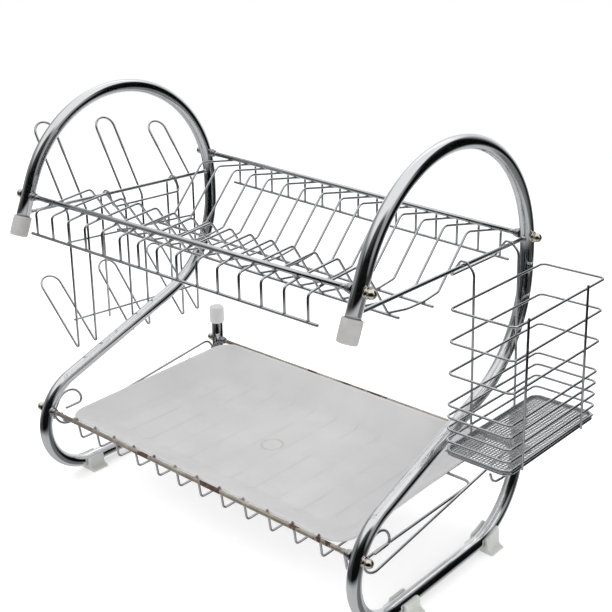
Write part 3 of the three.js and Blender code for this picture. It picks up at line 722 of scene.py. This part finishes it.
def drip_tray():
    """Rings run from the middle of the underside, up the outer wall, over the lip and in to the floor.

    Each level is how far in it lies, from 0 at the rim to 1 at the floor's edge, and its height, from
    0 at the underside to 1 at the rim.
    """
    levels = [
        (1.6, 0.0), (1.06, 0.0), (1.0, 0.01), (0.93, 0.05), (0.5, 0.46), (0.12, 0.87), (0.06, 0.92),
        (0.012, 0.925), (0.0, 0.94), (0.0, 0.98), (0.012, 1.0), (0.05, 1.01), (0.09, 0.995), (0.13, 0.95),
        (0.18, 0.88), (0.55, 0.5), (0.95, 0.12), (1.01, 0.085), (1.08, 0.078), (1.6, 0.078),
    ]
    bm = bmesh.new()
    rings = []
    for inward, level in levels:
        run_x, run_y = TRAY_WALL_RUN
        corner = max(9.0, TRAY_CORNER - inward * 6.0)
        ring = []
        for x, y in tray_outline(inward * run_x, inward * run_y, corner):
            height = TRAY_HEIGHT + TRAY_TILT * y / TRAY_HALF[1]
            ring.append(bm.verts.new(point(x, TRAY_MID_Y + y, TRAY_UNDERSIDE_Z + level * height)))
        rings.append(ring)
    for first, second in zip(rings, rings[1:]):
        rings_between(bm, first, second)
    for ring in (rings[0], rings[-1]):
        hub = bm.verts.new(point(0, TRAY_MID_Y, ring[0].co.z * 1000.0))
        inner = [bm.verts.new(hub.co.lerp(v.co, 0.5)) for v in ring]
        rings_between(bm, ring, inner)
        for i in range(len(inner)):
            bm.faces.new((inner[i], inner[(i + 1) % len(inner)], hub))
    piece("tray", bm, TRAY_PLASTIC, "drip_tray", ["drip_tray"])


# ---------------------------------------------------------------- side holders
def hanger(label, wire_x, hooks_y, foot_z):
    """Up from a foot at wire_x, over the crossbar and down behind it, at both hooks."""
    side = -1 if label == "left" else 1
    over = CROSSBAR_R + WIRE_R + 0.15
    bar = side * FRAME_X

    def hook(y, foot_y):
        bar_z = crossbar_height(label, y)
        top = bar_z + over
        return [point(wire_x, foot_y, foot_z), point(wire_x, y, top - abs(wire_x - bar) * 0.75),
                point(bar + side * over * 0.9, y, top + 0.1), point(bar - side * over, y, top + 0.1),
                point(bar - side * (over + HOOK_LEAN[label]), y, bar_z - HOOK_DROP)]

    path = hook(*hooks_y[0]) + list(reversed(hook(*hooks_y[1])))
    return fillet(path, [0, 9, 3.2, 3.0, 4, 4, 3.0, 3.2, 9, 0], 8)


def raised(x, y, z):
    """The basket's wires rise towards the front, most at the bottom and not at all at the top ring."""
    below = max(0.0, (BASKET_RING_Z[0] - z) / (BASKET_RING_Z[0] - BASKET_RIM_Z))
    forward = (BASKET_Y[1] - y) / (BASKET_Y[1] - BASKET_Y[0])
    return point(x, y, z + BASKET_RISE * below * forward)


def ring_path(z, corner):
    (x0, x1), (y0, y1) = BASKET_X, BASKET_Y
    corners = [raised(x0, y0, z), raised(x1, y0, z), raised(x1, y1, z), raised(x0, y1, z)]
    return fillet(corners, corner, 8, closed=True)


def at_level(ends_y, z):
    """Where a leaning upright, given its y at the top and at the bottom, passes the height z."""
    t = (BASKET_RING_Z[0] - z) / (BASKET_RING_Z[0] - BASKET_RIM_Z)
    return ends_y[0] + (ends_y[1] - ends_y[0]) * t


def cutlery_basket():
    bm = bmesh.new()
    for z in BASKET_RING_Z:
        radius = BASKET_TOP_R if z == BASKET_RING_Z[0] else WIRE_R
        tube(bm, ring_path(z, 5.0), radius, 12, closed=True)
    for z in (BASKET_RIM_Z + BASKET_RIM_GAP, BASKET_RIM_Z):
        tube(bm, ring_path(z, 8.0), BASKET_RIM_R, 12, closed=True)
    levels = list(BASKET_RING_Z) + [BASKET_RIM_Z + BASKET_RIM_GAP]
    for ends_y in BASKET_POSTS_Y:
        heights = (BASKET_RIM_Z - 1.0, 200, BASKET_RING_Z[0] + 3.5)
        tube(bm, [raised(BASKET_POST_X, at_level(ends_y, z), z) for z in heights], WIRE_R, 12)
        for z in levels:
            weld(bm, raised(BASKET_POST_X - 0.9, at_level(ends_y, z), z), ALONG_Z, 1.15, 3.0)
    tube(bm, hanger("right", BASKET_HOOK_X, BASKET_HOOKS_Y, BASKET_RIM_Z + 1.5), WIRE_R, 12)
    for ends_y in BASKET_HOOKS_Y:
        for z in levels:
            weld(bm, raised(BASKET_HOOK_X + 0.5, at_level(ends_y, z), z), ALONG_Z, 1.15, 3.0)
    piece("basket_wires", bm, CHROME_WIRE, "cutlery_basket", ["cutlery_basket"])


def basket_mesh():
    """A woven wire cloth: each wire passes over one crossing wire and under the next."""
    margin = 0.6
    (x0, x1), (y0, y1) = BASKET_X, BASKET_Y
    nx, ny = round((x1 - x0) / MESH_PITCH), round((y1 - y0) / MESH_PITCH)
    xs = [x0 + margin + (x1 - x0 - 2 * margin) * i / nx for i in range(nx + 1)]
    ys = [y0 + margin + (y1 - y0 - 2 * margin) * i / ny for i in range(ny + 1)]
    z = BASKET_RIM_Z + BASKET_RIM_GAP / 2
    over = [[MESH_WAVE if (i + j) % 2 else -MESH_WAVE for j in range(ny + 1)] for i in range(nx + 1)]
    bm = bmesh.new()
    for i, x in enumerate(xs):
        tube(bm, [raised(x, y, z + over[i][j]) for j, y in enumerate(ys)], MESH_R, 6)
    for j, y in enumerate(ys):
        tube(bm, [raised(x, y, z - over[i][j]) for i, x in enumerate(xs)], MESH_R, 6)
    piece("basket_mesh_floor", bm, MESH_WIRE, "cutlery_basket", ["cutlery_basket_floor"])


def prong(root, tip):
    """Out from the root on one side, round the tip, and back on the other side."""
    steps = 14
    along = (tip - root).normalized()
    half = PRONG_HALF / 1000.0
    centre = tip - along * half
    path = [root - ALONG_Y * half]
    for k in range(steps + 1):
        a = math.pi * k / steps
        path.append(centre + along * (half * math.sin(a)) - ALONG_Y * (half * math.cos(a)))
    path.append(root + ALONG_Y * half)
    return path


def bar_height(level, y):
    """Height at y of the cup holder's upper bar, level 0, or its lower one, level 1."""
    first = CUP_COLUMNS["front"][0] - PRONG_HALF
    return CUP_BARS_Z[level] - CUP_BARS_FALL * (y - first)


def prong_loop(place):
    """One closed loop of wire: an upper prong, two uprights side by side, and a lower prong."""
    y, upper_x, upper_z, lower_x, lower_z, root_z = CUP_COLUMNS[place]
    upper = prong(point(CUP_X, y, 274), point(upper_x, y, upper_z))
    lower = prong(point(CUP_X - 0.6, y, root_z), point(lower_x, y, lower_z))
    corners = upper + list(reversed(lower))
    radii = [9] + [0] * (len(upper) - 2) + [9] + [2.2] + [0] * (len(lower) - 2) + [2.2]
    path = []
    for i, corner in enumerate(corners):
        if radii[i] == 0:
            path.append(corner)
            continue
        path += fillet([corners[i - 1], corner, corners[(i + 1) % len(corners)]], radii[i], 7)[1:-1]
    bm = bmesh.new()
    tube(bm, path, WIRE_R, 12, closed=True)
    for level in (0, 1):
        for edge in (y - PRONG_HALF, y + PRONG_HALF):
            weld(bm, point(CUP_X - 0.95, edge, bar_height(level, edge)), ALONG_Z, 1.3, 3.0)
    piece(f"prong_loop_{place}", bm, CHROME_WIRE, "cup_holder", [f"cup_prongs_{place}"])


def cup_hanger():
    bm = bmesh.new()
    first = CUP_COLUMNS["front"][0] - PRONG_HALF - 1.2
    last = CUP_COLUMNS["rear"][0] + PRONG_HALF + 1.2
    for level in (0, 1):
        tube(bm, [point(CUP_BAR_X, y, bar_height(level, y)) for y in (first, 20, last)], WIRE_R, 12)
        for y, _ in CUP_HOOKS_Y:
            weld(bm, point(CUP_BAR_X, y, bar_height(level, y)), ALONG_Z, 1.35, 3.4)
    tube(bm, hanger("left", CUP_BAR_X, CUP_HOOKS_Y, 153.0), WIRE_R, 12)
    piece("cup_hanger", bm, CHROME_WIRE, "cup_holder", ["cup_holder_frame"])


# ---------------------------------------------------------------- put the rack together
def build_rack():
    leg_axis = Vector((0, math.sin(LEG_LEAN), math.cos(LEG_LEAN)))
    for label, side in (("left", -1), ("right", 1)):
        leg_end, upright_end = in_frame(side, (PROFILE[0], PROFILE[-1]))
        frame_tube(label, side)
        crossbar(label, side)
        scroll_brace(label, side)
        end_cap(f"leg_end_cap_{label}", f"leg_cap_{label}", leg_end, leg_axis, LEG_CAP_PLASTIC)
        end_cap(f"upright_end_cap_{label}", f"upright_cap_{label}", upright_end, -ALONG_Z,
                UPRIGHT_CAP_PLASTIC)
        foot(label, "front", side, FOOT_Y[label][0])
        foot(label, "rear", side, FOOT_Y[label][1])
        for seat in SEATS:
            ball_nut(label, side, seat)
            saddle_washer(label, side, seat)
    for seat in SEATS:
        rail(seat)
    upper_panel()
    lower_panel()
    drip_tray()
    cutlery_basket()
    basket_mesh()
    cup_hanger()
    for place in CUP_COLUMNS:
        prong_loop(place)


build_rack()


# ---------------------------------------------------------------- floor, light and camera
FLOOR_R, FLOOR_Z = 1.6, -0.0002
AZIMUTH = math.radians(40.6)
ELEVATION = math.radians(19.05)
ROLL = math.radians(-0.31)
CAMERA_AT = (0.65795, -0.68050, 0.58010)
CAMERA_LENS = 64.32
CAMERA_SHIFT = (-0.038, -0.073)

# The room that the polished metal mirrors. Heights are parts of the way from level to straight up;
# a patch is its azimuth from the front, its elevation, its inner and outer half angle, and its
# brightness, with angles in degrees.
CEILING_STARTS, CEILING_FULL = 0.38, 0.76
GROUND_FULL, GROUND_ENDS = -0.58, -0.34
FRONT_SHADOW = (35.0, 5.0, 42.0, 54.0, 0.08)
BACK_SHADOW = (140.0, 14.0, 29.0, 39.0, 0.05)
GROUND_SHADOW = (114.0, -42.0, 18.0, 30.0, 0.25)
GLOWS = (
    (-145.0, 2.0, 22.0, 62.0, 0.75),
    (95.0, 20.0, 12.0, 28.0, 0.3),
    (-68.0, 10.0, 14.0, 32.0, 0.22),
)


def floor():
    """A round white table top, left out of what the polished metal mirrors."""
    bm = bmesh.new()
    bm.faces.new([bm.verts.new((FLOOR_R * math.cos(a), FLOOR_R * math.sin(a), FLOOR_Z))
                  for a in [2 * math.pi * k / 96 for k in range(96)]])
    mesh = bpy.data.meshes.new("floor")
    bm.to_mesh(mesh)
    bm.free()
    s = Shader("floor_white")
    s.set(Base_Color=s.ramp(s.noise(1.5, 2.0), [(0.3, (0.93, 0.93, 0.93)), (0.7, (0.95, 0.95, 0.95))]))
    s.set(Roughness=0.9, Specular_IOR_Level=0.1)
    s.set(Emission_Color=(1, 1, 1, 1), Emission_Strength=0.35)
    mesh.materials.append(s.material)
    obj = bpy.data.objects.new("floor", mesh)
    obj.visible_glossy = False
    bpy.context.scene.collection.objects.link(obj)


def studio():
    """White to the eye; the chrome mirrors a white ceiling over a dim room."""
    world = bpy.data.worlds.new("studio")
    bpy.context.scene.world = world
    world.use_nodes = True
    tree = world.node_tree
    tree.nodes.clear()
    direction = add_node(tree, "ShaderNodeTexCoord").outputs["Generated"]

    def step(value, start, end, low, high):
        inputs = {"Value": value, "From Min": start, "From Max": end, "To Min": low, "To Max": high}
        ranged = add_node(tree, "ShaderNodeMapRange", inputs, interpolation_type="SMOOTHSTEP")
        return ranged.outputs["Result"]

    def patch(azimuth, elevation, inner, outer, inside, outside):
        """One value inside a cone round a direction, another outside it."""
        a, e = math.radians(azimuth), math.radians(elevation)
        axis = (math.sin(a) * math.cos(e), -math.cos(a) * math.cos(e), math.sin(e))
        dot = add_node(tree, "ShaderNodeVectorMath", {0: direction, 1: axis}, operation="DOT_PRODUCT")
        return step(dot.outputs["Value"], math.cos(math.radians(outer)), math.cos(math.radians(inner)),
                    outside, inside)

    def combine(operation, a, b):
        return add_node(tree, "ShaderNodeMath", {0: a, 1: b}, operation=operation).outputs[0]

    height = add_node(tree, "ShaderNodeSeparateXYZ", {"Vector": direction}).outputs["Z"]
    room = step(height, CEILING_STARTS, CEILING_FULL, 0.05, 0.95)
    for shadow in (FRONT_SHADOW, BACK_SHADOW):
        room = combine("MULTIPLY", room, patch(*shadow, 1.0))
    ground = step(height, GROUND_FULL, GROUND_ENDS, 0.50, 0.0)
    room = combine("ADD", room, combine("MULTIPLY", ground, patch(*GROUND_SHADOW, 1.0)))
    for glow in GLOWS:
        room = combine("ADD", room, patch(*glow, 0.0))
    rays = add_node(tree, "ShaderNodeLightPath")
    plain = add_node(tree, "ShaderNodeBackground", {"Color": (1, 1, 1, 1), "Strength": 1.0})
    mirrored = add_node(tree, "ShaderNodeBackground", {"Color": room, "Strength": 1.0})
    sides = {0: rays.outputs["Is Glossy Ray"], 1: plain.outputs[0], 2: mirrored.outputs[0]}
    surface = add_node(tree, "ShaderNodeMixShader", sides).outputs[0]
    add_node(tree, "ShaderNodeOutputWorld", {"Surface": surface})


def softbox(name, at, target, size, power):
    data = bpy.data.lights.new(name, "AREA")
    data.energy = power
    data.shape = "RECTANGLE"
    data.size, data.size_y = size
    obj = bpy.data.objects.new(name, data)
    obj.location = at
    obj.rotation_euler = (Vector(target) - Vector(at)).to_track_quat("-Z", "Y").to_euler()
    obj.visible_glossy = False
    bpy.context.scene.collection.objects.link(obj)


def camera():
    data = bpy.data.cameras.new("camera")
    data.sensor_width = 36.0
    data.lens = CAMERA_LENS
    data.shift_x, data.shift_y = CAMERA_SHIFT
    data.clip_end = 200.0
    a, e = AZIMUTH, ELEVATION
    view = Vector((-math.sin(a) * math.cos(e), math.cos(a) * math.cos(e), -math.sin(e)))
    right = Vector((math.cos(a), math.sin(a), 0))
    up = right.cross(view)
    turned_right = right * math.cos(ROLL) + up * math.sin(ROLL)
    turned_up = up * math.cos(ROLL) - right * math.sin(ROLL)
    rotation = Matrix((turned_right, turned_up, -view)).transposed().to_4x4()
    obj = bpy.data.objects.new("camera", data)
    obj.matrix_world = Matrix.Translation(CAMERA_AT) @ rotation
    bpy.context.scene.collection.objects.link(obj)
    bpy.context.scene.camera = obj


floor()
studio()
softbox("key_light", (-1.2, -1.0, 2.2), (0, 0, 0.2), (1.6, 1.6), 10)
softbox("fill_light", (1.6, 1.4, 1.8), (0, 0, 0.2), (1.4, 1.4), 6)
camera()
bpy.context.scene.view_settings.view_transform = "Standard"
bpy.context.scene.view_settings.look = "None"
